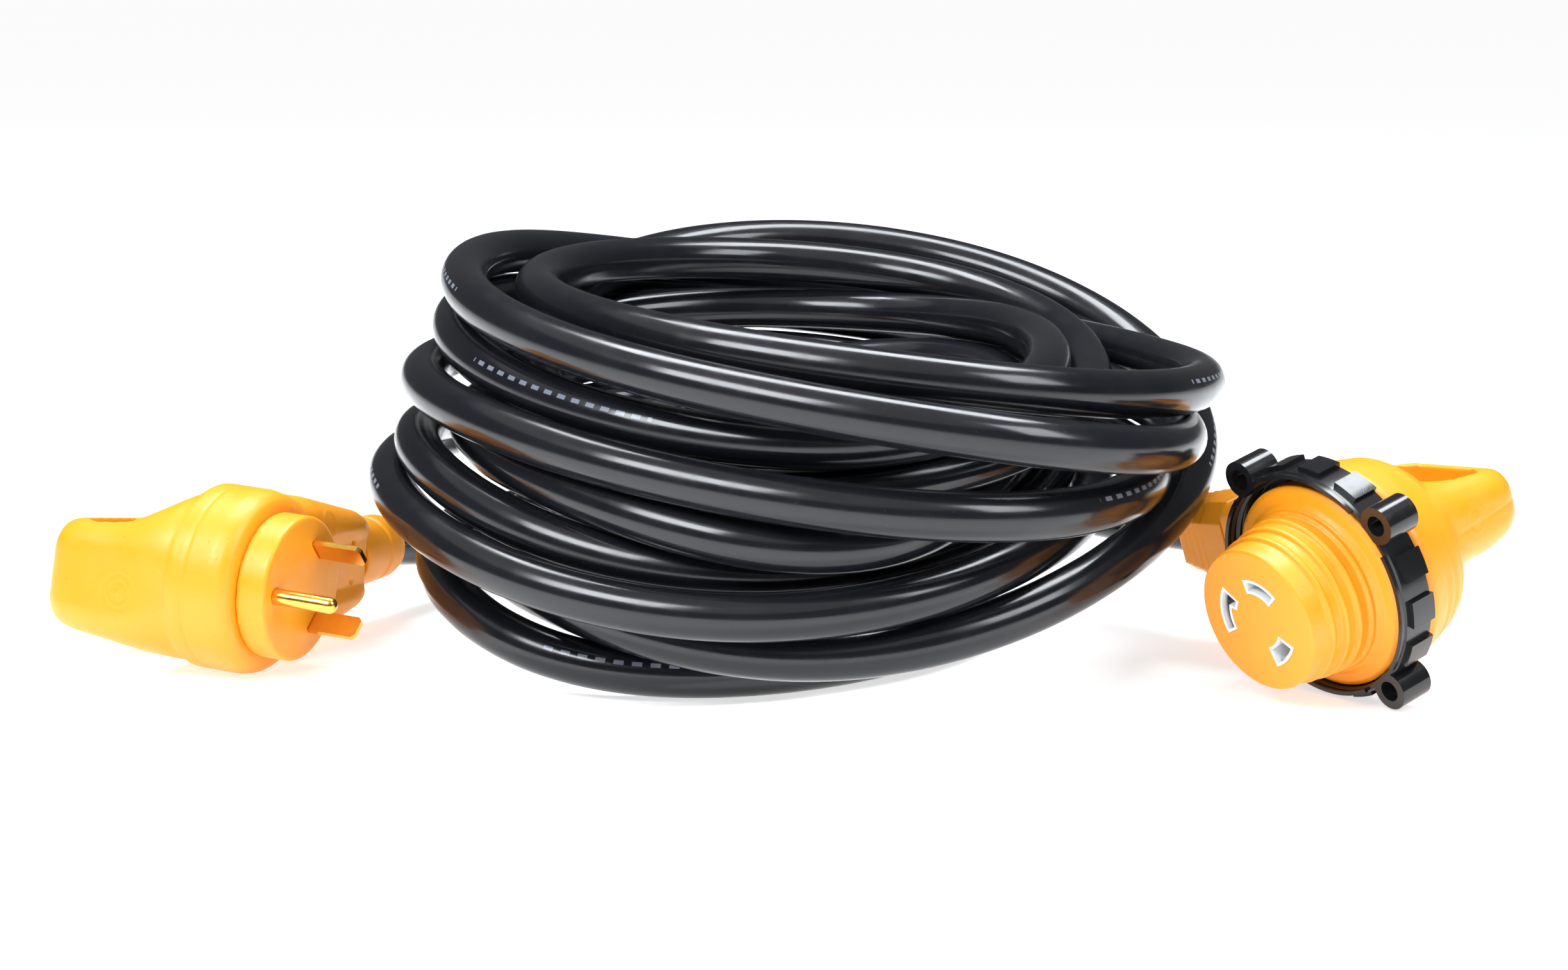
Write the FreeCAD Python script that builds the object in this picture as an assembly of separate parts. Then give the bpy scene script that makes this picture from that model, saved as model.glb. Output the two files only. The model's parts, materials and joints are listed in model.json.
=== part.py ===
"""Shore power cord: right-angle plug and locking connector on one coiled three-core cable.

Lengths are millimetres. The frame stands on the floor: z = 0 is the floor, +X runs from the plug
to the connector, and the origin is below the middle of the two fittings.
Each fitting is modelled in its own frame and then placed: x points forward out of the mating
face, y points along the cord exit, and the mating face is at x = 0.
"""
import FreeCAD, Part
import math
import os
from FreeCAD import Vector

# ------------------------------------------------------------------ driving dimensions
CORD_DIAMETER = 16.0
CONDUCTOR_DIAMETER = 4.6
CLEARANCE = 0.05                  # round every moulded-in piece

PLUG_PLACE = Vector(-162.4, -13.9, 30.7)
PLUG_YAW, PLUG_PITCH, PLUG_ROLL = -21.7, 4.0, -3.0
CONNECTOR_PLACE = Vector(155.1, -61.3, 30.35)
CONNECTOR_YAW, CONNECTOR_PITCH, CONNECTOR_ROLL = 215.3, 16.0, 185.0

PLUG_NOSE_RADIUS = 25.0
PLUG_NOSE_LENGTH = 11.0
PLUG_BARREL_RADIUS = 32.0
PLUG_BOSS_RADIUS = 22.0           # part of the nose mould buried in the barrel
PLUG_BOSS_END = -18.0
PLUG_BARREL_END = -38.0
PLUG_EXIT_X = -22.0               # cord exit line behind the mating face
PLUG_EXIT_END = 94.0

BLADE_WIDTH, BLADE_THICKNESS, BLADE_REACH = 8.4, 1.8, 18.0
BLADE_Y, BLADE_Z = 8.6, 12.6
PIN_DIAMETER, PIN_REACH, PIN_Y = 5.6, 23.4, -17.2
PIN_TAIL_DIAMETER = 4.8           # the part of the pin that the nose holds
CRIMP_DIAMETER, CRIMP_LENGTH = 6.6, 8.0

NOSE_RADIUS = 24.6                # connector nose at its mating face
INSERT_RADIUS = 19.0              # round insert that holds the three slot housings
SLEEVE_END = -25.8                # the ribbed sleeve ends here, and the flange begins
FLANGE_RADIUS = 35.5
FLANGE_FRONT, FLANGE_BACK = -28.0, -34.5
NECK_RADIUS = 30.5
CONNECTOR_BARREL_RADIUS = 37.0    # widest, just behind the ring
CONNECTOR_BARREL_FRONT, CONNECTOR_BARREL_END = -41.5, -62.0
CONNECTOR_EXIT_X = -60.0
CONNECTOR_EXIT_END = 90.0
HOUSING_DEPTH = 20.0
CONTACT_SETBACK = 1.5

RING_FRONT, RING_BACK = -27.0, -39.8
RING_BORE, RING_RIM, RING_GRIP = 37.2, 39.7, 41.3
RING_LIP, RING_LIP_FRONT = 32.8, -37.4
RING_COLLAR = 1.3                 # raised edge of the ring's front between two lugs
RING_DROP = -1.4                  # the ring's axis against the connector's, along local z
LUG_CIRCLE, LUG_DIAMETER, LUG_HOLE = 42.6, 12.8, 7.0
LUG_COUNT, LUG_START = 4, 33.4
GRIPS_PER_QUARTER = 3

STRAIN_START = 62.0               # distance from the axis where each strain relief begins
JACKET_START = 66.0               # the cord's jacket ends inside the strain relief
CORE_RUN_IN = 8.0                 # straight end of each core before the jacket
LEAD_STRAIGHT = 38.0              # first straight run of each lead, from the jacket's end
FACET_STEPS, FACET_STEP_LENGTH, FACET_STEP_DROP = 4, 4.0, 0.7   # nested steps of one relief

# Level, centre x and y, and outer half axes of the coil's outside; the inside is three cords in.
COIL_LEVELS = [(0.0, -4.0, 53.0, 116.0, 108.0), (50.0, -2.0, 48.0, 118.0, 116.0),
               (62.0, 1.7, 43.0, 145.0, 145.0), (110.0, 1.7, 43.0, 145.0, 147.0),
               (139.0, 1.7, 50.0, 120.0, 136.0)]
COIL_BUILD = 3.0 * CORD_DIAMETER

X = Vector(1, 0, 0)
Y = Vector(0, 1, 0)
Z = Vector(0, 0, 1)

plug_frame = FreeCAD.Placement(PLUG_PLACE, FreeCAD.Rotation(PLUG_YAW, PLUG_PITCH, PLUG_ROLL))
connector_frame = FreeCAD.Placement(
    CONNECTOR_PLACE, FreeCAD.Rotation(CONNECTOR_YAW, CONNECTOR_PITCH, CONNECTOR_ROLL))


# ------------------------------------------------------------------ shape helpers
def turned(outline):
    """Solid of revolution about the local x axis from (x, radius) points."""
    points = [Vector(x, 0, radius) for x, radius in outline]
    return Part.Face(Part.makePolygon(points + points[:1])).revolve(Vector(), X, 360)


def drum(x_from, x_to, radius, y=0.0, z=0.0):
    """Cylinder along x between two stations."""
    low = min(x_from, x_to)
    return Part.makeCylinder(radius, abs(x_to - x_from), Vector(low, y, z), X)


def rounded_wire(centre, across, up, half_across, half_up, radius):
    """Rounded rectangle in the plane of two unit vectors."""
    corners = [(1, 1), (-1, 1), (-1, -1), (1, -1)]
    arcs = []
    for quarter, (side, level) in enumerate(corners):
        middle = (centre + across * side * (half_across - radius)
                  + up * level * (half_up - radius))
        turns = [math.radians(90 * quarter + 45 * step) for step in range(3)]
        arcs.append([middle + across * radius * math.cos(turn) + up * radius * math.sin(turn)
                     for turn in turns])
    edges = []
    for points, following in zip(arcs, arcs[1:] + arcs[:1]):
        edges.append(Part.Arc(*points).toShape())
        edges.append(Part.LineSegment(points[2], following[0]).toShape())
    return Part.Wire(edges)


def loft(wires, ruled=False):
    return Part.makeLoft(wires, True, ruled)


def routed_tube(points, diameter, name=None):
    """Round tube along straight runs joined by tangent arcs, each as large as its runs allow."""
    edges = []
    start = points[0]
    length = 0.0
    for before, corner, after in zip(points, points[1:], points[2:]):
        into = (corner - before).normalize()
        out = (after - corner).normalize()
        half_turn = into.getAngle(out) / 2.0
        shorter = min((corner - before).Length, (after - corner).Length)
        setback = 0.45 * shorter
        radius = setback / math.tan(half_turn)
        first = corner - into * setback
        last = corner + out * setback
        bisector = (out - into).normalize()
        middle = corner + bisector * (radius / math.cos(half_turn) - radius)
        edges.append(Part.LineSegment(start, first).toShape())
        edges.append(Part.Arc(first, middle, last).toShape())
        length += (first - start).Length + 2.0 * half_turn * radius
        start = last
        if name:
            print("%s arc radius %.1f mm, turn %.1f degrees" %
                  (name, radius, math.degrees(2.0 * half_turn)))
    edges.append(Part.LineSegment(start, points[-1]).toShape())
    length += (points[-1] - start).Length
    path = Part.Wire(edges)
    profile = Part.Wire([Part.Circle(points[0], (points[1] - points[0]).normalize(),
                                     diameter / 2.0).toShape()])
    tube = path.makePipeShell([profile], True, False)
    if name:
        expected = math.pi * diameter ** 2 / 4.0 * length
        print("%s length %.1f mm, volume %.0f of %.0f mm3" % (name, length, tube.Volume, expected))
    return tube


def sector(inner, outer, start, sweep, x_from, x_to):
    """Annular sector prism about the local x axis; angles run from y towards z."""
    def at(radius, degrees):
        turn = math.radians(degrees)
        return Vector(x_from, radius * math.cos(turn), radius * math.sin(turn))
    end = start + sweep
    middle = start + sweep / 2.0
    wire = Part.Wire([
        Part.Arc(at(outer, start), at(outer, middle), at(outer, end)).toShape(),
        Part.LineSegment(at(outer, end), at(inner, end)).toShape(),
        Part.Arc(at(inner, end), at(inner, middle), at(inner, start)).toShape(),
        Part.LineSegment(at(inner, start), at(outer, start)).toShape()])
    return Part.Face(wire).extrude(X * (x_to - x_from))


def handle_loop(sections):
    """Hollow-handle blank lofted through (x, half y, half z, corner, rise, lean) stations."""
    wires = []
    for x, half_y, half_z, radius, rise, lean in sections:
        turn = math.radians(lean)
        across = Vector(0, math.cos(turn), math.sin(turn))
        up = Vector(0, -math.sin(turn), math.cos(turn))
        wires.append(rounded_wire(Vector(x, 0, rise), across, up, half_y, half_z, radius))
    return loft(wires)


def finger_hole(x_back, x_front, half_width, corner):
    middle = (x_back + x_front) / 2.0
    wire = rounded_wire(Vector(middle, 0, -60), X, Y, (x_front - x_back) / 2.0, half_width, corner)
    return Part.Face(wire).extrude(Z * 120)


def exit_neck(exit_x, root_y, root_half, end_half):
    """Tapered neck that carries the cord exit away from the barrel."""
    return loft([rounded_wire(Vector(exit_x, root_y, 0), X, Z, root_half[0], root_half[1], 8.0),
                 rounded_wire(Vector(exit_x, STRAIN_START, 0), X, Z, end_half[0], end_half[1], 6.0)],
                True)


def bell_mouth(exit_x, exit_end):
    """The jacket's own hole through a strain relief, opening slightly at its end."""
    radius = CORD_DIAMETER / 2.0
    hole = turned([(STRAIN_START - 1.0, 0), (STRAIN_START - 1.0, radius + CLEARANCE),
                   (exit_end - 10.0, radius + CLEARANCE), (exit_end, radius + 0.7),
                   (exit_end + 1.0, radius + 0.7), (exit_end + 1.0, 0)])
    hole.rotate(Vector(), Z, 90)
    hole.translate(Vector(exit_x, 0, 0))
    return hole


def round_relief(exit_x, exit_end):
    """Tapering round sleeve with one groove and a rounded end."""
    groove = exit_end - 14.0
    sleeve = turned([(STRAIN_START, 0), (STRAIN_START, 13.0), (groove - 1.6, 12.5),
                     (groove - 0.8, 11.6), (groove + 0.8, 11.6), (groove + 1.6, 12.3),
                     (exit_end - 5.0, 12.0), (exit_end - 2.0, 11.2), (exit_end - 0.5, 9.9),
                     (exit_end, 9.3), (exit_end, 0)])
    sleeve.rotate(Vector(), Z, 90)
    sleeve.translate(Vector(exit_x, 0, 0))
    return sleeve.cut(bell_mouth(exit_x, exit_end))


def eight_sided(exit_x, y, half_x, half_z):
    """Rectangle across the exit line with its four corners cut off."""
    cut = 0.42 * half_x
    corners = [(half_x, half_z - cut), (half_x - cut, half_z), (cut - half_x, half_z),
               (-half_x, half_z - cut), (-half_x, cut - half_z), (cut - half_x, -half_z),
               (half_x - cut, -half_z), (half_x, cut - half_z)]
    points = [Vector(exit_x + x, y, z) for x, z in corners]
    return Part.makePolygon(points + points[:1])


def faceted_relief(exit_x, exit_end):
    """Eight-sided tapering block that ends in nested steps."""
    steps_start = exit_end - FACET_STEPS * FACET_STEP_LENGTH
    half_x, half_z = 14.0, 15.5
    block = loft([eight_sided(exit_x, STRAIN_START, half_x + 0.5, half_z + 1.0),
                  eight_sided(exit_x, steps_start, half_x, half_z)], True)
    for index in range(FACET_STEPS):
        start = steps_start + index * FACET_STEP_LENGTH
        drop = (index + 1) * FACET_STEP_DROP
        block = block.fuse(loft([
            eight_sided(exit_x, start, half_x - drop, half_z - drop),
            eight_sided(exit_x, start + FACET_STEP_LENGTH, half_x - drop - 0.2,
                        half_z - drop - 0.2)], True))
    return block.removeSplitter().cut(bell_mouth(exit_x, exit_end))


def core_bundle(exit_x):
    """Centres of the three cores where the jacket ends: rear one, then the two forward ones."""
    reach = 2.76
    centres = []
    for turn in (180, 60, -60):
        angle = math.radians(turn)
        centres.append(Vector(exit_x + reach * math.cos(angle), JACKET_START,
                              reach * math.sin(angle)))
    return centres


# ------------------------------------------------------------------ plug
def blade(side):
    """Flat contact blade at 45 degrees, tip corners chamfered, tail buried in the nose."""
    half_width, half_thickness, chamfer = BLADE_WIDTH / 2.0, BLADE_THICKNESS / 2.0, 1.3
    tail = PLUG_BOSS_END
    outline = [Vector(tail, -half_width, 0), Vector(BLADE_REACH - chamfer, -half_width, 0),
               Vector(BLADE_REACH, -half_width + chamfer, 0),
               Vector(BLADE_REACH, half_width - chamfer, 0),
               Vector(BLADE_REACH - chamfer, half_width, 0), Vector(tail, half_width, 0)]
    plate = Part.Face(Part.makePolygon(outline + outline[:1])).extrude(Z * BLADE_THICKNESS)
    plate.translate(Vector(0, 0, -half_thickness))
    plate.rotate(Vector(), X, -45 * side)
    plate.translate(Vector(0, BLADE_Y, side * BLADE_Z))
    return plate


def ground_pin():
    """Round grounding pin with a domed tip, and a thinner tail inside the nose."""
    radius = PIN_DIAMETER / 2.0
    tail_piece = drum(PLUG_BOSS_END, 0.0, PIN_TAIL_DIAMETER / 2.0, PIN_Y)
    shaft = drum(0.0, PIN_REACH - radius, radius, PIN_Y)
    dome = Part.makeSphere(radius, Vector(PIN_REACH - radius, PIN_Y, 0))
    return shaft.fuse([dome, tail_piece]).removeSplitter()


def plug_pieces():
    pieces = {}
    rear, upper, lower = core_bundle(PLUG_EXIT_X)
    crimp_end = PLUG_BOSS_END - CRIMP_LENGTH
    pieces["plug_blade_hot"] = blade(1)
    pieces["plug_blade_neutral"] = blade(-1)
    pieces["plug_ground_pin"] = ground_pin()
    ends = {"hot": (BLADE_Y, BLADE_Z, upper), "neutral": (BLADE_Y, -BLADE_Z, lower),
            "ground": (PIN_Y, 0.0, rear)}
    for wire, (y, z, core) in ends.items():
        pieces["plug_crimp_" + wire] = drum(PLUG_BOSS_END, crimp_end, CRIMP_DIAMETER / 2.0, y, z)
        back = crimp_end - (12.0 if wire == "ground" else 9.0)
        points = [Vector(crimp_end, y, z), Vector(back, y, z)]
        if wire == "ground":
            points += [Vector(back + 1.0, 6.0, 0), Vector(PLUG_EXIT_X - 6.5, 28.0, 0),
                       Vector(PLUG_EXIT_X - 6.0, 46.0, 0)]
        else:
            points += [Vector(PLUG_EXIT_X - 6.0, 38.0, math.copysign(5.8, z))]
        points += [core - Y * CORE_RUN_IN, core]
        pieces["plug_core_" + wire] = routed_tube(points, CONDUCTOR_DIAMETER)

    nose = turned([(PLUG_BOSS_END, 0), (PLUG_BOSS_END, PLUG_BOSS_RADIUS),
                   (-PLUG_NOSE_LENGTH, PLUG_BOSS_RADIUS), (-PLUG_NOSE_LENGTH, PLUG_NOSE_RADIUS),
                   (-1.2, PLUG_NOSE_RADIUS), (-0.35, PLUG_NOSE_RADIUS - 0.35),
                   (0, PLUG_NOSE_RADIUS - 1.2), (0, 0)])
    for name in ("plug_blade_hot", "plug_blade_neutral", "plug_ground_pin"):
        nose = nose.cut(pieces[name])
    pieces["plug_nose"] = nose

    barrel = turned([(PLUG_BARREL_END, 0), (PLUG_BARREL_END, PLUG_BARREL_RADIUS - 3.0),
                     (PLUG_BARREL_END + 4.0, PLUG_BARREL_RADIUS),
                     (-18.0, PLUG_BARREL_RADIUS), (-14.2, PLUG_BARREL_RADIUS - 1.0),
                     (-12.0, PLUG_BARREL_RADIUS - 2.8), (-PLUG_NOSE_LENGTH, 27.0),
                     (-PLUG_NOSE_LENGTH, 0)])
    handle = handle_loop([(-30.0, 30.0, 30.0, 28.0, 0.0, 0.0), (-42.0, 30.5, 27.0, 20.0, -1.5, -3.0),
                          (-53.0, 30.0, 22.8, 13.0, -4.5, -6.5),
                          (-68.0, 29.0, 20.3, 10.5, -5.3, -7.0),
                          (-80.5, 27.0, 18.5, 10.0, -5.2, -7.0),
                          (-86.0, 20.5, 15.0, 9.0, -5.0, -7.0)])
    neck = exit_neck(PLUG_EXIT_X, 16.0, (10.4, 27.4), (12.0, 15.5))
    body = barrel.fuse([handle, neck]).removeSplitter()
    body = body.cut(finger_hole(-77.5, -48.0, 20.0, 10.0))
    boss_room = drum(PLUG_BOSS_END - 0.02, 0, PLUG_BOSS_RADIUS + CLEARANCE)
    body = body.cut(boss_room)
    body = hollowed(body, pieces, "plug_", ends, PLUG_EXIT_X)
    pieces["plug_body"] = body
    pieces["plug_strain_relief"] = round_relief(PLUG_EXIT_X, PLUG_EXIT_END)
    return pieces


def hollowed(body, pieces, prefix, wires, exit_x):
    """Room for the crimps, the cores and the jacket's end inside a moulded body."""
    for wire in wires:
        crimp = pieces[prefix + "crimp_" + wire]
        box = crimp.BoundBox
        grown = drum(box.XMin - CLEARANCE, box.XMax + CLEARANCE, CRIMP_DIAMETER / 2.0 + CLEARANCE,
                     box.Center.y, box.Center.z)
        body = body.cut(grown).cut(pieces[prefix + "core_" + wire])
    jacket = Part.makeCylinder(CORD_DIAMETER / 2.0 + CLEARANCE, 40.0,
                               Vector(exit_x, JACKET_START, 0), Y)
    return body.cut(jacket)


# ------------------------------------------------------------------ connector
# Slot: angle of its middle from y towards z, pattern radius, sweep, opening width
SLOTS = {"hot": (-112.0, 11.8, 53.0, 3.1), "neutral": (128.0, 13.0, 37.0, 5.0),
         "ground": (-9.5, 14.0, 54.0, 3.3)}
HOUSING_WALL = 0.9
CONTACT_LEAF = 0.8


def slot_opening(wire, grow, x_from, x_to):
    """Curved slot of one contact; the grounding one has a hook towards the axis."""
    middle, radius, sweep, width = SLOTS[wire]
    spread = math.degrees(grow / radius)
    inner, outer = radius - width / 2.0 - grow, radius + width / 2.0 + grow
    opening = sector(inner, outer, middle - sweep / 2.0 - spread, sweep + 2.0 * spread, x_from, x_to)
    if wire == "ground":
        hook_sweep = 15.0
        hook = sector(inner - 2.6, inner + 0.5, middle - sweep / 2.0 - spread,
                      hook_sweep + 2.0 * spread, x_from, x_to)
        opening = opening.fuse(hook).removeSplitter()
    return opening


def connector_pieces():
    pieces = {}
    rear, upper, lower = core_bundle(CONNECTOR_EXIT_X)
    crimp_start = -HOUSING_DEPTH
    crimp_end = crimp_start - CRIMP_LENGTH
    cores = {"hot": lower, "neutral": upper, "ground": rear}
    for wire, (middle, radius, sweep, width) in SLOTS.items():
        shell = slot_opening(wire, HOUSING_WALL, -HOUSING_DEPTH, 0.0)
        hollow = slot_opening(wire, 0.0, -HOUSING_DEPTH + 1.5, 0.1)
        pieces["connector_housing_" + wire] = shell.cut(hollow)
        leaf = sector(radius + width / 2.0 - CONTACT_LEAF, radius + width / 2.0 - CLEARANCE,
                      middle - sweep / 2.0 + 1.0, sweep - 2.0,
                      -HOUSING_DEPTH + 1.5, -CONTACT_SETBACK)
        pieces["connector_contact_" + wire] = leaf
        turn = math.radians(middle)
        y, z = radius * math.cos(turn), radius * math.sin(turn)
        pieces["connector_crimp_" + wire] = drum(crimp_start, crimp_end, CRIMP_DIAMETER / 2.0, y, z)
        if wire == "ground":
            points = [Vector(crimp_end, y, z), Vector(CONNECTOR_EXIT_X - 1.0, y, z),
                      Vector(CONNECTOR_EXIT_X - 4.5, 42.0, 0)]
        else:
            points = [Vector(crimp_end, y, z), Vector(CONNECTOR_EXIT_X + 2.0, y, z),
                      Vector(CONNECTOR_EXIT_X + 3.5, 40.0, math.copysign(5.8, z))]
        points += [cores[wire] - Y * CORE_RUN_IN, cores[wire]]
        pieces["connector_core_" + wire] = routed_tube(points, CONDUCTOR_DIAMETER)

    insert = drum(-HOUSING_DEPTH, 0, INSERT_RADIUS)
    for wire in SLOTS:
        insert = insert.cut(slot_opening(wire, HOUSING_WALL, -HOUSING_DEPTH, 0.1))
    pieces["connector_insert"] = insert
    pieces["connector_nose"] = turned(
        [(SLEEVE_END, INSERT_RADIUS)] + seal_ribs()
        + [(0, NOSE_RADIUS - 0.6), (0, INSERT_RADIUS)])
    flange = turned([(CONNECTOR_BARREL_FRONT, 0), (CONNECTOR_BARREL_FRONT, NECK_RADIUS),
                     (FLANGE_BACK, NECK_RADIUS), (FLANGE_BACK, FLANGE_RADIUS),
                     (FLANGE_FRONT - 1.2, FLANGE_RADIUS), (FLANGE_FRONT, FLANGE_RADIUS - 1.6),
                     (FLANGE_FRONT + 0.7, 30.6), (SLEEVE_END, 29.0), (SLEEVE_END, INSERT_RADIUS),
                     (-HOUSING_DEPTH, INSERT_RADIUS), (-HOUSING_DEPTH, 0)])
    pieces["connector_flange"] = hollowed(flange, pieces, "connector_", SLOTS, CONNECTOR_EXIT_X)

    front, end, widest = CONNECTOR_BARREL_FRONT, CONNECTOR_BARREL_END, CONNECTOR_BARREL_RADIUS
    barrel = turned([(end - 8.0, 0), (end - 8.0, widest - 12.0), (end - 4.0, widest - 7.0),
                     (end, widest - 4.2), (end + 8.0, widest - 2.0), (front - 3.5, widest),
                     (front - 1.0, widest - 0.6), (front, widest - 1.8), (front, 0)])
    handle = handle_loop([(-50.0, 31.0, 30.0, 28.0, 0.0, 0.0), (-61.0, 30.5, 22.5, 16.0, -2.8, 0.0),
                          (-70.0, 29.5, 15.8, 12.0, -5.7, 0.0),
                          (-80.0, 28.5, 14.3, 10.5, -5.2, 0.0),
                          (-90.0, 27.5, 12.8, 9.0, -4.8, 0.0), (-98.0, 25.0, 11.0, 8.0, -4.6, 0.0),
                          (-103.5, 18.5, 8.0, 6.5, -4.6, 0.0)])
    neck = exit_neck(CONNECTOR_EXIT_X, 20.0, (12.5, 25.0), (14.5, 16.5))
    body = barrel.fuse([handle, neck]).removeSplitter()
    body = body.cut(finger_hole(-96.0, -73.0, 19.5, 9.0))
    pieces["connector_body"] = hollowed(body, pieces, "connector_", SLOTS, CONNECTOR_EXIT_X)
    pieces["connector_strain_relief"] = faceted_relief(CONNECTOR_EXIT_X, CONNECTOR_EXIT_END)
    return pieces


def seal_ribs():
    """Outline of the nose from flange to face: four raised sealing ribs on a stepped barrel."""
    outline = [(SLEEVE_END, 27.6)]
    ribs = [(-24.6, 28.4, 27.2), (-19.6, 27.7, 26.4), (-14.4, 27.0, 25.4),
            (-8.8, 26.0, NOSE_RADIUS)]
    for station, crest, land in ribs:
        outline += [(station - 1.0, crest - 0.5), (station - 0.4, crest), (station + 0.4, crest),
                    (station + 1.0, crest - 0.5), (station + 1.2, land)]
    outline.append((-0.6, NOSE_RADIUS))
    return outline


def locking_ring():
    """Threaded ring with raised grips, a collar between its lugs and four drilled lugs."""
    ring = turned([(RING_BACK, RING_LIP), (RING_BACK, RING_RIM - 0.8), (RING_BACK + 0.8, RING_RIM),
                   (RING_FRONT - 0.8, RING_RIM), (RING_FRONT, RING_RIM - 0.8),
                   (RING_FRONT, RING_BORE + 0.5), (RING_FRONT - 1.0, RING_BORE)]
                  + thread_outline()
                  + [(RING_LIP_FRONT, RING_BORE), (RING_LIP_FRONT, RING_LIP)])
    quarter = 360.0 / LUG_COUNT
    slot = quarter / (GRIPS_PER_QUARTER + 1)
    additions = []
    holes = []
    for lug in range(LUG_COUNT):
        angle = LUG_START + lug * quarter
        turn = math.radians(angle)
        y, z = LUG_CIRCLE * math.cos(turn), LUG_CIRCLE * math.sin(turn)
        additions.append(drum(RING_BACK, RING_FRONT, LUG_DIAMETER / 2.0, y, z))
        holes.append(drum(RING_BACK - 1, RING_FRONT + 1, LUG_HOLE / 2.0, y, z))
        for grip in range(GRIPS_PER_QUARTER):
            middle = angle + (grip + 1) * slot
            additions.append(sector(RING_RIM - 0.6, RING_GRIP, middle - 6.5, 13.0,
                                    RING_BACK + 0.6, RING_FRONT - 2.3))
        additions.append(sector(RING_BORE + 0.7, RING_RIM - 0.4, angle + 13.0, quarter - 26.0,
                                RING_FRONT, RING_FRONT + RING_COLLAR))
    bore = drum(RING_BACK - 1, RING_FRONT + 1, RING_LIP)
    bore = bore.fuse(drum(RING_LIP_FRONT, RING_FRONT + 1, RING_BORE))
    solid = ring.fuse([addition.cut(bore) for addition in additions]).removeSplitter()
    for hole in holes:
        solid = solid.cut(hole)
    solid.translate(Vector(0, 0, RING_DROP))
    return solid


def thread_outline():
    """Grooves of the ring's internal thread, cut outward from the bore."""
    pitch, depth, turns = 2.9, 1.1, 3
    outline = []
    for index in range(turns):
        start = RING_FRONT - 1.4 - index * pitch
        outline += [(start, RING_BORE), (start - 0.9, RING_BORE + depth),
                    (start - 1.5, RING_BORE + depth), (start - 2.4, RING_BORE)]
    return outline


# ------------------------------------------------------------------ cord
def along_exit(frame, exit_x, distance):
    return frame.multVec(Vector(exit_x, distance, 0))


def plug_lead_route():
    """From inside the plug's strain relief, down to the floor behind the coil's left side."""
    return [along_exit(plug_frame, PLUG_EXIT_X, JACKET_START),
            along_exit(plug_frame, PLUG_EXIT_X, JACKET_START + LEAD_STRAIGHT),
            Vector(-123.0, 122.0, 17.5), Vector(-92.0, 144.0, 8.8), Vector(-56.0, 156.0, 8.4)]


def connector_lead_route():
    """From inside the connector's strain relief to the coil's right-hand back."""
    return [along_exit(connector_frame, CONNECTOR_EXIT_X, JACKET_START),
            along_exit(connector_frame, CONNECTOR_EXIT_X, JACKET_START + LEAD_STRAIGHT),
            Vector(122.0, 89.0, 36.5), Vector(102.0, 114.0, 36.5)]


def tail(route, straight, last):
    """Cord between the end of a lead and the inside of the coil."""
    heading = (route[-1] - route[-2]).normalize()
    return routed_tube([route[-1], route[-1] + heading * straight, last], CORD_DIAMETER)


def ellipse_wire(level, x, y, half_x, half_y):
    centre = Vector(x, y, level)
    if half_x >= half_y:
        curve = Part.Ellipse(centre + X * half_x, centre + Y * half_y, centre)
    else:
        curve = Part.Ellipse(centre + Y * half_y, centre - X * half_x, centre)
    return Part.Wire([curve.toShape()])


def coil():
    """Closed outer shape of the loose coil, with the tails that its two leads meet."""
    solid = loft([ellipse_wire(*level) for level in COIL_LEVELS], True)
    for (low, x, y, low_x, low_y), (high, _, _, high_x, high_y) in zip(COIL_LEVELS, COIL_LEVELS[1:]):
        opening = ellipse_wire(low - 1.0, x, y, min(low_x, high_x) - COIL_BUILD,
                               min(low_y, high_y) - COIL_BUILD)
        solid = solid.cut(Part.Face(opening).extrude(Z * (high - low + 2.0)))
    tails = [tail(plug_lead_route(), 14.0, Vector(-14.0, 150.0, 9.0)),
             tail(connector_lead_route(), 10.0, Vector(62.0, 126.0, 37.0))]
    return solid.fuse(tails).removeSplitter()


def cord_pieces():
    solid = coil()
    plug_lead = routed_tube(plug_lead_route(), CORD_DIAMETER, "plug lead")
    connector_lead = routed_tube(connector_lead_route(), CORD_DIAMETER, "connector lead")
    return {"cord_coil": solid, "cord_lead_plug": plug_lead.cut(solid),
            "cord_lead_connector": connector_lead.cut(solid)}


# ------------------------------------------------------------------ assembly
def main():
    os.makedirs("parts", exist_ok=True)
    nodes = {}
    for name, shape in plug_pieces().items():
        nodes[name] = shape.transformed(plug_frame.toMatrix(), copy=True)
    for name, shape in connector_pieces().items():
        nodes[name] = shape.transformed(connector_frame.toMatrix(), copy=True)
    nodes["locking_ring"] = locking_ring().transformed(connector_frame.toMatrix(), copy=True)
    nodes.update(cord_pieces())
    for name, shape in nodes.items():
        shape.exportStep("parts/%s.step" % name)


main()
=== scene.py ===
"""Shore power cord: right-angle plug and locking connector on one loosely coiled cable.

Lengths in the tables are millimetres and become metres where the meshes are made.
"""
import json
import math

import bmesh
import bpy
import numpy as np
from mathutils import Matrix, Vector


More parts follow.
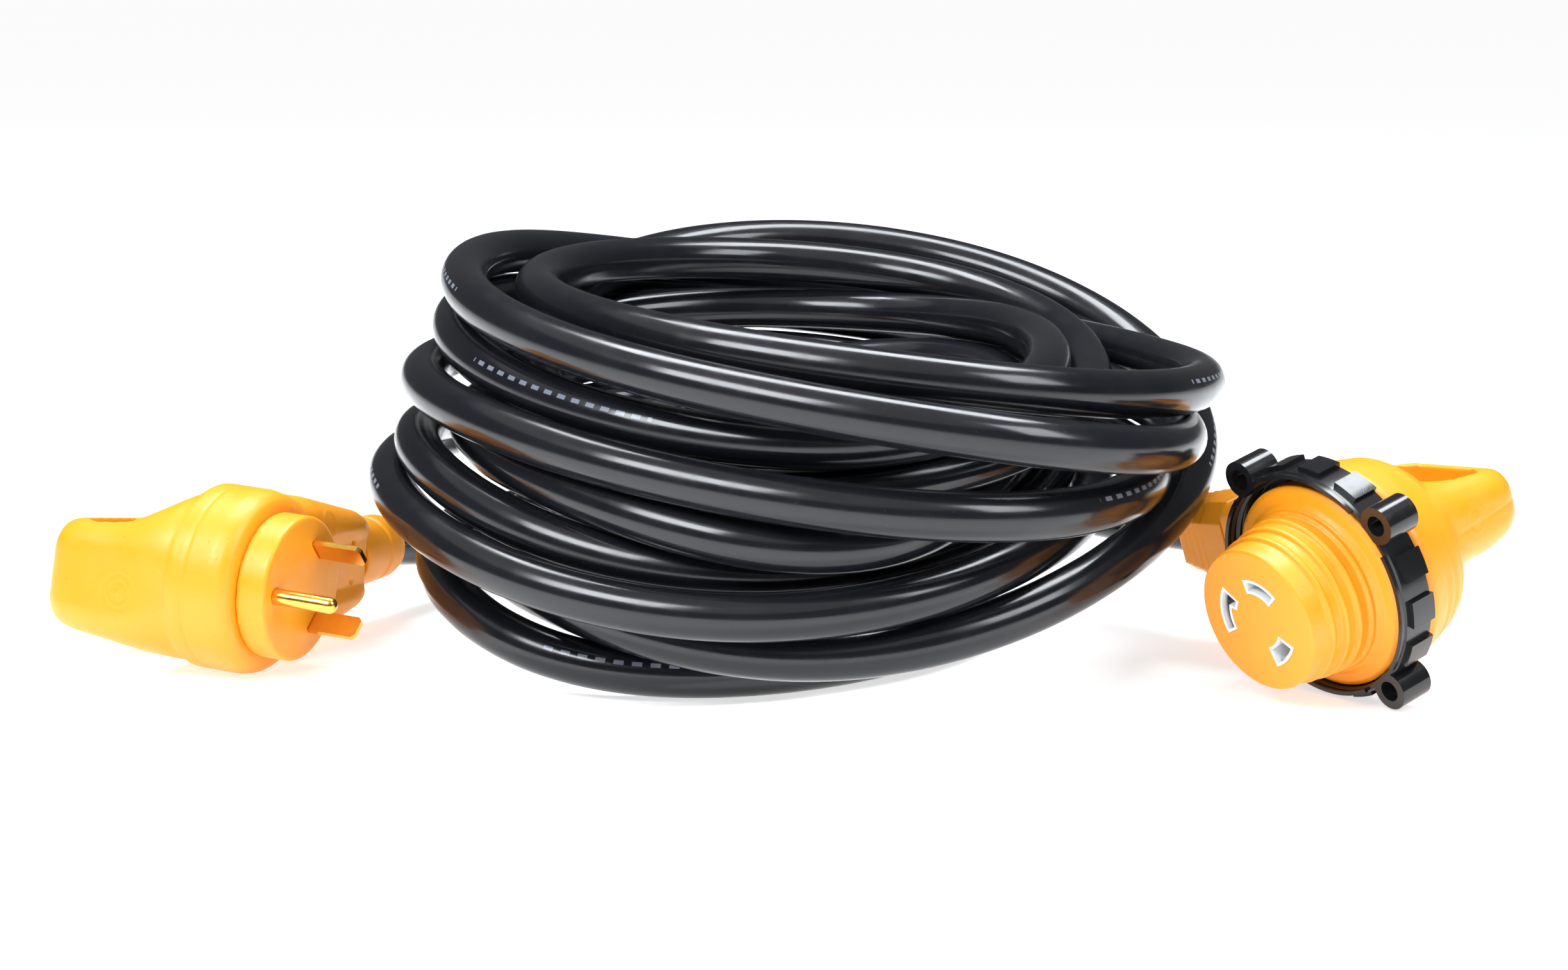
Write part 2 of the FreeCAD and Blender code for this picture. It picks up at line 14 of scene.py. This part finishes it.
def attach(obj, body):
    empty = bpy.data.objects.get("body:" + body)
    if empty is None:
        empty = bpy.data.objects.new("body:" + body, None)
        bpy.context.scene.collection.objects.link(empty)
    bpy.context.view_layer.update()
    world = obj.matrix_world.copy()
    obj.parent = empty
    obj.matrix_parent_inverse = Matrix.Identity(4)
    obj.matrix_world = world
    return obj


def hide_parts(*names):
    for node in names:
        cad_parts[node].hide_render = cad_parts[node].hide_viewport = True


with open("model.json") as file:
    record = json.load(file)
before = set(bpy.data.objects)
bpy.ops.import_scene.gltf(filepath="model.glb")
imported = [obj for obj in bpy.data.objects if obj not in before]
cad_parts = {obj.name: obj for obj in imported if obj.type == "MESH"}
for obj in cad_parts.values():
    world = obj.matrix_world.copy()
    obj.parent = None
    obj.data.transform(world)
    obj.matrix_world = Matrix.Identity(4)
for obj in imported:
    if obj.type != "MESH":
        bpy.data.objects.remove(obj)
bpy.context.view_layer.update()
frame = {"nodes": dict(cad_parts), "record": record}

nodes = frame["nodes"]

MM = 0.001
CORD_DIAMETER = 16.0
CORD_GAP = 16.4                   # distance kept between the centrelines of two strands
FLOOR_GAP = 8.2                   # height of a strand's centreline above the floor

SCENE = bpy.context.scene
SCENE.view_settings.view_transform = "Standard"


# ------------------------------------------------------------------ places of the two fittings
class Fitting:
    """A fitting's own frame: x forward out of the mating face, y along the cord exit."""

    def __init__(self, place, yaw, pitch, roll):
        turn = (Matrix.Rotation(math.radians(yaw), 4, "Z")
                @ Matrix.Rotation(math.radians(pitch), 4, "Y")
                @ Matrix.Rotation(math.radians(roll), 4, "X"))
        self.matrix = Matrix.Translation(place) @ turn

    def point(self, x, y, z=0.0):
        """World place of a local point, in millimetres."""
        return tuple(self.matrix @ Vector((x, y, z)))


plug = Fitting((-162.4, -13.9, 30.7), -21.7, 4.0, -3.0)
connector = Fitting((155.1, -61.3, 30.35), 215.3, 16.0, 185.0)
PLUG_EXIT_X = -22.0
CONNECTOR_EXIT_X, CONNECTOR_EXIT_END = -60.0, 90.0
JACKET_SHOWS = 72.0               # where each end of the jacket's line starts
LEAD_TURN = 104.0                 # end of the straight run out of a fitting


# ------------------------------------------------------------------ camera and light
COOL_WHITE = (0.90, 0.95, 1.0)
LENS = 67.73                      # mm, on a sensor 36 mm wide
CAMERA_PLACE = (0.0016, -0.9969, 0.24)
CAMERA_TILT = 80.0                # degrees up from straight down


def look_at(obj, target):
    direction = Vector(target) - obj.location
    obj.rotation_euler = direction.to_track_quat("-Z", "Y").to_euler()


def make_camera():
    data = bpy.data.cameras.new("camera")
    data.sensor_width = 36.0
    data.lens = LENS
    camera = bpy.data.objects.new("camera", data)
    camera.location = CAMERA_PLACE
    camera.rotation_euler = (math.radians(CAMERA_TILT), 0.0, 0.0)
    SCENE.collection.objects.link(camera)
    SCENE.camera = camera


def area_light(name, location, target, width, height, power):
    data = bpy.data.lights.new(name, "AREA")
    data.shape = "RECTANGLE"
    data.size, data.size_y = width, height
    data.energy = power
    data.color = COOL_WHITE
    light = bpy.data.objects.new(name, data)
    light.location = location
    look_at(light, target)
    SCENE.collection.objects.link(light)


def make_studio():
    """White behind the object, dim in front of it, soft light from above and both sides."""
    middle = (0.0, 0.03, 0.06)
    area_light("left_box", (-0.8, -0.8, 1.0), middle, 0.8, 0.5, 21.0)
    area_light("right_box", (0.85, -0.6, 0.9), middle, 0.5, 0.6, 8.0)
    area_light("top_box", (0.05, 0.35, 1.3), middle, 1.3, 0.45, 28.0)
    sun_data = bpy.data.lights.new("sky", "SUN")
    sun_data.energy = 1.0
    sun_data.angle = math.radians(100.0)
    sun = bpy.data.objects.new("sky", sun_data)
    sun.rotation_euler = (math.radians(12.0), math.radians(-8.0), 0.0)
    SCENE.collection.objects.link(sun)
    world = bpy.data.worlds.new("studio")
    world.use_nodes = True
    tree = world.node_tree
    tree.nodes["Background"].inputs["Strength"].default_value = 0.10
    paper = tree.nodes.new("ShaderNodeBackground")
    paper.inputs["Color"].default_value = (1.0, 1.0, 1.0, 1.0)
    seen = tree.nodes.new("ShaderNodeLightPath").outputs["Is Camera Ray"]
    blend = tree.nodes.new("ShaderNodeMixShader")
    tree.nodes["Background"].inputs["Color"].default_value = (1.0, 1.0, 1.0, 1.0)
    tree.links.new(seen, blend.inputs["Fac"])
    tree.links.new(tree.nodes["Background"].outputs["Background"], blend.inputs[1])
    tree.links.new(paper.outputs["Background"], blend.inputs[2])
    tree.links.new(blend.outputs["Shader"], tree.nodes["World Output"].inputs["Surface"])
    SCENE.world = world


make_camera()
make_studio()


# ------------------------------------------------------------------ the cord's route
# Each turn of the coil, lowest first: the strand's centre at the back, right, front and left.
TURNS = [
    ((15, 150, 9), (72, 70, 9), (-40, -47, 9), (-121, 45, 37)),
    ((0, 170, 27), (113, 45, 60), (10, -88, 36), (-137, 44, 68)),
    ((-10, 165, 60), (100, 48, 71), (-14, -74, 46), (-131, 42, 80)),
    ((0, 142, 86), (86, 55, 94), (16, -89, 59), (-113, 45, 82)),
    ((10, 172, 90), (132, 40, 71), (60, -99, 71), (-127, 45, 102)),
    ((5, 156, 110), (94, 52, 108), (42, -78, 87), (-117, 45, 113)),
    ((15, 178, 104), (140, 40, 83), (80, -104, 97), (-113, 50, 130)),
    ((0, 188, 115), (147, 50, 94), (60, -85, 112), (-88, 54, 129)),
    ((10, 150, 124), (107, 57, 101), (5, -74, 67), (-87, 58, 106)),
    ((5, 184, 132), (144, 60, 76), (18, -76, 20), (-106, 45, 34)),
]
COIL_END = (0, 158, 44)
POINTS_PER_QUARTER = 10
POINT_SPACING = 15.0              # between the coil's points once they are evenly spread
SETTLE_STEPS = 240
SETTLE_SPREAD = 3                 # neighbours that share each push
SETTLE_RATE = 0.6                 # share of an overlap that one step undoes
OWN_STRETCH = 4                   # points along the cord that don't push each other
STIFFNESS = 0.125                 # how strongly the cord evens out its own bends
PUSH_SHARES = np.array([1.0, 1.5, 0.5])   # strands slide past each other more than they lift

plug_lead = [plug.point(PLUG_EXIT_X, JACKET_SHOWS), plug.point(PLUG_EXIT_X, LEAD_TURN),
             (-123.0, 122.0, 17.5), (-92.0, 144.0, 8.8), (-56.0, 156.0, 8.4),
             (-20.0, 158.0, 8.6)]
connector_lead = [(38.0, 152.0, 43.0), (72.0, 136.0, 40.0), (102.0, 114.0, 36.5),
                  (122.0, 89.0, 36.5), connector.point(CONNECTOR_EXIT_X, LEAD_TURN),
                  connector.point(CONNECTOR_EXIT_X, JACKET_SHOWS)]
HELD_POINTS = 5                   # points at each end that settling leaves alone


def eased(heights, index, t):
    """Catmull-Rom height between two stations of the coil."""
    last = len(heights) - 1
    a, b = heights[max(index - 1, 0)], heights[index]
    c, d = heights[index + 1], heights[min(index + 2, last)]
    return 0.5 * (2 * b + (c - a) * t + (2 * a - 5 * b + 4 * c - d) * t ** 2
                  + (3 * b - a - 3 * c + d) * t ** 3)


def coil_turns():
    """Quarter ellipses from station to station, clockwise from above."""
    stations = [point for turn in TURNS for point in turn] + [COIL_END]
    heights = [point[2] for point in stations]
    points = []
    for index, (start, end) in enumerate(zip(stations, stations[1:])):
        for step in range(POINTS_PER_QUARTER):
            t = step / POINTS_PER_QUARTER
            along, across = math.sin(t * math.pi / 2), math.cos(t * math.pi / 2)
            if index % 2 == 0:
                x = start[0] + (end[0] - start[0]) * along
                y = end[1] + (start[1] - end[1]) * across
            else:
                x = end[0] + (start[0] - end[0]) * across
                y = start[1] + (end[1] - start[1]) * along
            points.append((x, y, eased(heights, index, t)))
    return points + [COIL_END]


def evenly_spread(points):
    """The same line with its points one spacing apart."""
    line = np.array(points)
    run = np.concatenate([[0.0], np.cumsum(np.linalg.norm(np.diff(line, axis=0), axis=1))])
    marks = np.linspace(0.0, run[-1], int(round(run[-1] / POINT_SPACING)) + 1)
    return np.stack([np.interp(marks, run, line[:, axis]) for axis in range(3)], axis=1)


def contact_push(line, apart):
    """How far each point must move to leave the strands and the floor that it lies in."""
    starts, runs = line[:-1], np.diff(line, axis=0)
    offset = line[:, None] - starts[None]
    t = np.clip((offset * runs).sum(2) / (runs ** 2).sum(1), 0.0, 1.0)
    offset -= t[..., None] * runs
    distance = np.sqrt((offset ** 2).sum(2)) + 1e-9
    near = apart & (distance < CORD_GAP)
    weight = np.where(near, SETTLE_RATE * (CORD_GAP - distance) / distance, 0.0)
    push = (offset * weight[..., None]).sum(1) * PUSH_SHARES
    push[:, 2] += np.maximum(0.0, FLOOR_GAP - line[:, 2])
    return push


def settled(line):
    """Pushes strands that would lie in each other apart, as a stiff cord does."""
    line = line.copy()
    count = len(line)
    order = np.abs(np.arange(count)[:, None] - np.arange(count - 1)[None])
    apart = order > OWN_STRETCH
    free = np.ones((count, 1))
    free[:HELD_POINTS] = 0.0
    free[-HELD_POINTS:] = 0.0
    share = np.hanning(2 * SETTLE_SPREAD + 3)[1:-1]
    share /= share.sum()
    for _ in range(SETTLE_STEPS):
        push = np.pad(contact_push(line, apart), ((SETTLE_SPREAD, SETTLE_SPREAD), (0, 0)), "edge")
        push = np.stack([np.convolve(push[:, axis], share, "valid") for axis in range(3)], axis=1)
        bend = np.zeros_like(line)
        bend[1:-1] = np.diff(line, 2, axis=0)
        change = np.zeros_like(line)
        change[1:-1] = np.diff(bend, 2, axis=0)
        line += (push - STIFFNESS * change) * free
    return line


def route_line(points):
    """Smooth centreline: the points of a NURBS spline that has the route as control points."""
    data = bpy.data.curves.new("cord_route", "CURVE")
    data.dimensions = "3D"
    data.resolution_u = 4
    spline = data.splines.new("NURBS")
    spline.points.add(len(points) - 1)
    for point, place in zip(spline.points, points):
        point.co = (*place, 1.0)
    spline.order_u = 3
    spline.use_endpoint_u = True
    route = bpy.data.objects.new("cord_route", data)
    line = bpy.data.meshes.new_from_object(route)
    places = np.array([vertex.co for vertex in line.vertices])
    bpy.data.meshes.remove(line)
    bpy.data.objects.remove(route)
    bpy.data.curves.remove(data)
    return places


def linked_mesh(name, vertices, faces):
    mesh = bpy.data.meshes.new(name)
    mesh.from_pydata([tuple(vertex) for vertex in vertices], [], faces)
    mesh.polygons.foreach_set("use_smooth", [True] * len(mesh.polygons))
    piece = bpy.data.objects.new(name, mesh)
    SCENE.collection.objects.link(piece)
    return piece


def tube(name, line, radius, sides=28):
    """Mesh tube; its UV map holds metres along the cord and the share of the way round it.

    The way round starts on the coil's inner side and goes over the top, so 0.5 faces outward.
    """
    ahead = np.gradient(line, axis=0)
    ahead /= np.linalg.norm(ahead, axis=1)[:, None]
    inward = np.cross(ahead, (0.0, 0.0, 1.0))
    inward /= np.linalg.norm(inward, axis=1)[:, None]
    upward = np.cross(inward, ahead)
    along = np.concatenate([[0.0], np.cumsum(np.linalg.norm(np.diff(line, axis=0), axis=1))])
    turn = np.arange(sides) * 2 * math.pi / sides
    rings = (line[:, None] + radius * (np.cos(turn)[None, :, None] * inward[:, None]
                                       + np.sin(turn)[None, :, None] * upward[:, None]))
    faces, uvs = [], []
    for ring in range(len(line) - 1):
        for side in range(sides):
            after = (side + 1) % sides
            faces.append((ring * sides + side, ring * sides + after,
                          (ring + 1) * sides + after, (ring + 1) * sides + side))
            low, high = side / sides, (side + 1) / sides
            uvs += [(along[ring], low), (along[ring], high),
                    (along[ring + 1], high), (along[ring + 1], low)]
    last = (len(line) - 1) * sides
    faces += [tuple(reversed(range(sides))), tuple(range(last, last + sides))]
    uvs += [(0.0, 0.0)] * (2 * sides)
    piece = linked_mesh(name, rings.reshape(-1, 3), faces)
    layer = piece.data.uv_layers.new(name="UVMap")
    layer.data.foreach_set("uv", np.array(uvs).ravel())
    return piece


cord_route = np.vstack([plug_lead, evenly_spread(coil_turns()), connector_lead])
cord_line = route_line(settled(cord_route) * MM)
cord = tube("cord", cord_line, CORD_DIAMETER * MM / 2)
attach(cord, "cord_set")
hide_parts("cord_coil", "cord_lead_plug", "cord_lead_connector")


# ------------------------------------------------------------------ materials
class Shader:
    """A small procedural material: one Principled BSDF fed by a few texture nodes."""

    def __init__(self, name):
        self.material = bpy.data.materials.new(name)
        self.material.use_nodes = True
        self.tree = self.material.node_tree
        self.surface = self.tree.nodes["Principled BSDF"]
        self.where = self.tree.nodes.new("ShaderNodeTexCoord").outputs["Object"]

    def link(self, output, socket):
        self.tree.links.new(output, socket)

    def constants(self, **values):
        for name, value in values.items():
            self.surface.inputs[name.replace("_", " ").title()].default_value = value

    def noise(self, scale, detail=4.0, roughness=0.55, stretch=None):
        texture = self.tree.nodes.new("ShaderNodeTexNoise")
        texture.inputs["Scale"].default_value = scale
        texture.inputs["Detail"].default_value = detail
        texture.inputs["Roughness"].default_value = roughness
        self.link(self.stretched(stretch), texture.inputs["Vector"])
        return texture.outputs["Fac"]

    def specks(self, scale, size):
        """1 on scattered small dots, 0 elsewhere."""
        texture = self.tree.nodes.new("ShaderNodeTexVoronoi")
        texture.inputs["Scale"].default_value = scale
        self.link(self.where, texture.inputs["Vector"])
        return self.ramp(texture.outputs["Distance"], size, size * 0.6, 0.0, 1.0)

    def stretched(self, stretch):
        if stretch is None:
            return self.where
        mapping = self.tree.nodes.new("ShaderNodeMapping")
        mapping.inputs["Scale"].default_value = stretch
        self.link(self.where, mapping.inputs["Vector"])
        return mapping.outputs["Vector"]

    def ramp(self, value, low, high, out_low, out_high):
        node = self.tree.nodes.new("ShaderNodeMapRange")
        self.link(value, node.inputs["Value"])
        for name, number in (("From Min", low), ("From Max", high),
                             ("To Min", out_low), ("To Max", out_high)):
            node.inputs[name].default_value = number
        return node.outputs["Result"]

    def math(self, operation, a, b):
        node = self.tree.nodes.new("ShaderNodeMath")
        node.operation = operation
        for socket, value in zip(node.inputs, (a, b)):
            if isinstance(value, (int, float)):
                socket.default_value = value
            else:
                self.link(value, socket)
        return node.outputs["Value"]

    def mix(self, factor, first, second):
        node = self.tree.nodes.new("ShaderNodeMix")
        node.data_type = "RGBA"
        self.link(factor, node.inputs["Factor"])
        for socket, value in ((node.inputs["A"], first), (node.inputs["B"], second)):
            if isinstance(value, tuple):
                socket.default_value = (*value, 1.0)
            else:
                self.link(value, socket)
        return node.outputs["Result"]

    def bump(self, *layers):
        """Stacks (height, distance in millimetres, strength) layers on the normal."""
        normal = None
        for height, distance, strength in layers:
            node = self.tree.nodes.new("ShaderNodeBump")
            node.inputs["Distance"].default_value = distance * MM
            node.inputs["Strength"].default_value = strength
            self.link(height, node.inputs["Height"])
            if normal is not None:
                self.link(normal, node.inputs["Normal"])
            normal = node.outputs["Normal"]
        self.link(normal, self.surface.inputs["Normal"])


def plain_plastic(name, colour, shade, roughness, grain=900.0):
    """Moulded plastic: slight colour drift, uneven gloss and a fine grain."""
    shader = Shader(name)
    drift = shader.noise(60.0)
    shader.link(shader.mix(drift, colour, shade), shader.surface.inputs["Base Color"])
    shader.link(shader.ramp(shader.noise(260.0), 0.3, 0.7, roughness * 0.85, roughness * 1.2),
                shader.surface.inputs["Roughness"])
    shader.bump((shader.noise(grain, 2.0), 0.05, 0.35))
    return shader.material


def jacket_material():
    """Glossy cable jacket with a printed row of dashes, raised ticks and a little dust."""
    shader = Shader("cord_jacket")
    parts = shader.tree.nodes.new("ShaderNodeSeparateXYZ")
    uv = shader.tree.nodes.new("ShaderNodeTexCoord").outputs["UV"]
    shader.link(uv, parts.inputs["Vector"])
    along, round_it = parts.outputs["X"], parts.outputs["Y"]

    def repeated(period, share):
        """1 for the first share of each period along the cord, 0 for the rest."""
        return shader.math("LESS_THAN", shader.math("FRACT", shader.math("DIVIDE", along, period),
                                                    0.0), share)

    def band(middle, half):
        offset = shader.math("ABSOLUTE", shader.math("SUBTRACT", round_it, middle), 0.0)
        return shader.math("LESS_THAN", offset, half)

    groups = shader.math("MULTIPLY", repeated(0.47, 0.17), repeated(0.0058, 0.55))
    printed = shader.math("MULTIPLY", groups, band(0.415, 0.015))
    ticks = shader.math("MULTIPLY", repeated(0.29, 0.7), repeated(0.0052, 0.55))
    raised = shader.math("MULTIPLY", ticks, band(0.335, 0.024))
    dust = shader.math("MULTIPLY", shader.specks(420.0, 0.05), 0.35)
    tone = shader.mix(shader.noise(35.0), (0.004, 0.005, 0.007), (0.010, 0.011, 0.014))
    dusty = shader.mix(dust, tone, (0.25, 0.25, 0.25))
    shader.link(shader.mix(printed, dusty, (0.17, 0.19, 0.23)),
                shader.surface.inputs["Base Color"])
    shader.link(shader.ramp(shader.noise(90.0), 0.3, 0.7, 0.13, 0.24),
                shader.surface.inputs["Roughness"])
    shader.bump((shader.noise(30.0, 2.0), 0.3, 0.25), (shader.noise(1400.0, 2.0), 0.02, 0.2),
                (raised, 0.25, 0.8))
    return shader.material


def brushed_metal(name, colour, shade, roughness):
    """Drawn metal: fine streaks along its length, dull patches and a few scratches."""
    shader = Shader(name)
    shader.constants(metallic=1.0)
    patches = shader.noise(180.0)
    shader.link(shader.mix(patches, colour, shade), shader.surface.inputs["Base Color"])
    streaks = shader.noise(120.0, 3.0, stretch=(1.5, 3.0, 25.0))
    shader.link(shader.ramp(streaks, 0.3, 0.7, roughness * 0.8, roughness * 1.4),
                shader.surface.inputs["Roughness"])
    shader.bump((streaks, 0.05, 0.5), (shader.noise(900.0, 2.0), 0.02, 0.3))
    return shader.material


def soft_pvc():
    """Moulded PVC of both fittings: satin skin with flow marks and dented pores, each pore
    painted a darker orange as painted shade in its pit.
    """
    shader = Shader("moulded_pvc")
    drift = shader.noise(22.0, 3.0)
    tone = shader.mix(drift, (0.93, 0.345, 0.010), (0.88, 0.30, 0.008))
    # painted shade: the pore dots are also the dents of the bump below, and are mixed to a darker
    # orange as shade in their pits
    pore_pits_and_shade = shader.math("MULTIPLY", shader.specks(230.0, 0.05), 0.75)
    tone_with_pit_shade = shader.mix(pore_pits_and_shade, tone, (0.30, 0.10, 0.01))
    shader.link(tone_with_pit_shade, shader.surface.inputs["Base Color"])
    shader.link(shader.ramp(shader.noise(140.0), 0.3, 0.7, 0.33, 0.5),
                shader.surface.inputs["Roughness"])
    flow = shader.noise(70.0, 3.0, stretch=(1.0, 1.0, 3.5))
    shader.bump((flow, 0.25, 0.25), (shader.noise(700.0, 2.0), 0.04, 0.4), (pore_pits_and_shade, -0.2, 0.7))
    return shader.material


def gloss_black(name, roughness, scuffs):
    """Hard black plastic with rubbed patches and hairline scratches."""
    shader = Shader(name)
    shader.link(shader.mix(shader.noise(50.0), (0.006, 0.006, 0.007), (0.014, 0.014, 0.015)),
                shader.surface.inputs["Base Color"])
    rubbed = shader.ramp(shader.noise(75.0, 6.0), 0.5, 0.72, roughness, roughness + scuffs)
    shader.link(rubbed, shader.surface.inputs["Roughness"])
    scratches = shader.noise(260.0, 2.0, stretch=(12.0, 1.0, 1.0))
    shader.bump((shader.noise(120.0, 2.0), 0.10, 0.35), (scratches, 0.02, 0.4))
    return shader.material


cord.data.materials.append(jacket_material())
finishes = {
    "moulded_pvc": soft_pvc(),
    "ring_plastic": gloss_black("ring_plastic", 0.13, 0.16),
    "core_black": plain_plastic("core_black", (0.02, 0.02, 0.02), (0.03, 0.03, 0.03), 0.4),
    "core_white": plain_plastic("core_white", (0.85, 0.85, 0.83), (0.8, 0.8, 0.78), 0.4),
    "core_green": plain_plastic("core_green", (0.03, 0.35, 0.10), (0.03, 0.3, 0.09), 0.4),
    "housing_nylon": plain_plastic("housing_nylon", (0.9, 0.91, 0.92), (0.84, 0.85, 0.87), 0.35),
    "crimp_tin": brushed_metal("crimp_tin", (0.72, 0.72, 0.7), (0.6, 0.6, 0.58), 0.3),
    "contact_nickel": brushed_metal("contact_nickel", (0.5, 0.5, 0.5), (0.4, 0.4, 0.4), 0.3),
    "prong_brass": brushed_metal("prong_brass", (0.95, 0.60, 0.13), (0.82, 0.43, 0.06), 0.18),
}

for part in frame["record"]["subparts"]:
    mesh = nodes[part["node"]].data
    if part["material_slot"] in finishes:
        mesh.materials.clear()
        mesh.materials.append(finishes[part["material_slot"]])


# ------------------------------------------------------------------ moulded pieces
def read_vectors(collection, field):
    values = np.empty(3 * len(collection))
    collection.foreach_get(field, values)
    return values.reshape(-1, 3)


def moulded(name, node_names, fitting, voxel, rounds, raised=None):
    """The shape of one or more touching CAD nodes as one moulding with soft edges.

    A smaller voxel and fewer rounds of smoothing leave sharper edges. raised(points) gives how
    far each point of the skin stands out, in the fitting's own frame.
    """
    to_world = Matrix.Diagonal((MM, MM, MM, 1.0)) @ fitting.matrix
    build = bmesh.new()
    for node in node_names:
        build.from_mesh(nodes[node].data)
    bmesh.ops.transform(build, matrix=to_world.inverted(), verts=build.verts)
    bmesh.ops.remove_doubles(build, verts=build.verts, dist=0.001)
    mesh = bpy.data.meshes.new(name)
    build.to_mesh(mesh)
    build.free()
    piece = bpy.data.objects.new(name, mesh)
    SCENE.collection.objects.link(piece)
    remesh = piece.modifiers.new("voxels", "REMESH")
    remesh.mode = "VOXEL"
    remesh.voxel_size = voxel
    soften = piece.modifiers.new("soften", "SMOOTH")
    soften.factor = 0.5
    soften.iterations = rounds
    graph = bpy.context.evaluated_depsgraph_get()
    skin = bpy.data.meshes.new_from_object(piece.evaluated_get(graph))
    piece.modifiers.clear()
    piece.data = skin
    if raised:
        points = read_vectors(skin.vertices, "co")
        points += read_vectors(skin.vertex_normals, "vector") * raised(points)[:, None]
        skin.vertices.foreach_set("co", points.ravel())
    skin.transform(to_world)
    skin.polygons.foreach_set("use_smooth", [True] * len(skin.polygons))
    skin.materials.clear()
    skin.materials.append(finishes["moulded_pvc"])
    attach(piece, "cord_set")
    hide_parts(*node_names)


PLUG_SEAM_X = -28.0
NECK_FACE_X = -13.5               # only the front of the plug's neck lies ahead of this
BELL_FOLDS = (-53.0, -57.5, -62.0)          # x of each fold
SLEEVE_GROOVES = (74.0, 78.0, 82.0, 86.0)   # y of each groove


def hump(distance, half):
    """1 at no distance, 0 from half outward, with a smooth fall between."""
    return np.clip(1.0 - (distance / half) ** 2, 0.0, 1.0) ** 2


def gate_mark(points, x, z):
    """Gate nub with two shallow rings on a handle's near arm."""
    away = np.hypot(points[:, 0] - x, points[:, 2] - z)
    mark = 0.45 * hump(away, 1.3) - 0.16 * hump(away - 3.4, 0.9) - 0.13 * hump(away - 5.8, 0.9)
    return np.where(points[:, 1] < -24.0, mark, 0.0)


def plug_details(points):
    """Seam round the barrel, a fuller neck, and two dimples and a ring on the neck's face."""
    x, y, z = points.T
    seam = -0.5 * hump(x - PLUG_SEAM_X, 0.7) * (np.hypot(y, z) > 28.0) * (y < 26.0)
    front = x > NECK_FACE_X
    dimples = sum(-1.0 * hump(np.hypot(y - 52.0, z - level), 1.5) for level in (8.4, -6.0))
    ring_mark = 0.3 * hump(np.hypot(y - 33.0, z - 16.0) - 4.4, 0.7)
    neck = 1.8 * np.clip((y - 12.0) / 14.0, 0.0, 1.0) * np.clip((66.0 - y) / 8.0, 0.0, 1.0)
    neck *= np.clip((np.abs(z) - 8.0) / 5.0, 0.0, 1.0) * (np.abs(x - PLUG_EXIT_X) < 13.0)
    face_marks = np.where(front & (y > 27.0), dimples + ring_mark, 0.0)
    return seam + neck + gate_mark(points, -53.5, -4.6) + face_marks


def connector_details(points):
    """Folds where the bell narrows, a parting line and a gate mark on the near arm."""
    x, y, z = points.T
    near = np.clip((-y + 4.0) / 16.0, 0.0, 1.0) * np.clip((z + 12.0) / 10.0, 0.0, 1.0)
    folds = sum(-0.55 * hump(x - fold, 1.5) for fold in BELL_FOLDS) * near
    parting = -0.2 * hump(z + 5.0, 0.7) * (x < -66.0) * (y < -22.0)
    return folds + parting + gate_mark(points, -77.0, -6.8)


def sleeve_details(points):
    """Grooves between the nested steps of the connector's strain relief."""
    y = points[:, 1]
    outside = np.hypot(points[:, 0] - CONNECTOR_EXIT_X, points[:, 2]) > 9.5
    return sum(-0.8 * hump(y - groove, 0.9) for groove in SLEEVE_GROOVES) * outside


moulded("plug_shell", ["plug_body"], plug, 0.7, 8, plug_details)
moulded("plug_face", ["plug_nose"], plug, 0.5, 4)
moulded("plug_sleeve", ["plug_strain_relief"], plug, 0.5, 4)
moulded("connector_shell", ["connector_body"], connector, 0.7, 8, connector_details)
moulded("connector_front", ["connector_nose", "connector_insert", "connector_flange"], connector,
        0.35, 2)
moulded("connector_sleeve", ["connector_strain_relief"], connector, 0.4, 1, sleeve_details)


# ------------------------------------------------------------------ floor
def make_floor():
    """Pale paper floor, bright enough by itself to keep the shadows faint."""
    mesh = bpy.data.meshes.new("floor")
    half = 40.0
    mesh.from_pydata([(-half, -half, 0), (half, -half, 0), (half, half, 0), (-half, half, 0)],
                     [], [(0, 1, 2, 3)])
    floor = bpy.data.objects.new("floor", mesh)
    SCENE.collection.objects.link(floor)
    paper = plain_plastic("floor", (0.8, 0.8, 0.8), (0.78, 0.78, 0.78), 0.7, 40.0)
    surface = paper.node_tree.nodes["Principled BSDF"]
    surface.inputs["Emission Color"].default_value = (1.0, 1.0, 1.0, 1.0)
    surface.inputs["Emission Strength"].default_value = 0.66
    mesh.materials.append(paper)


make_floor()
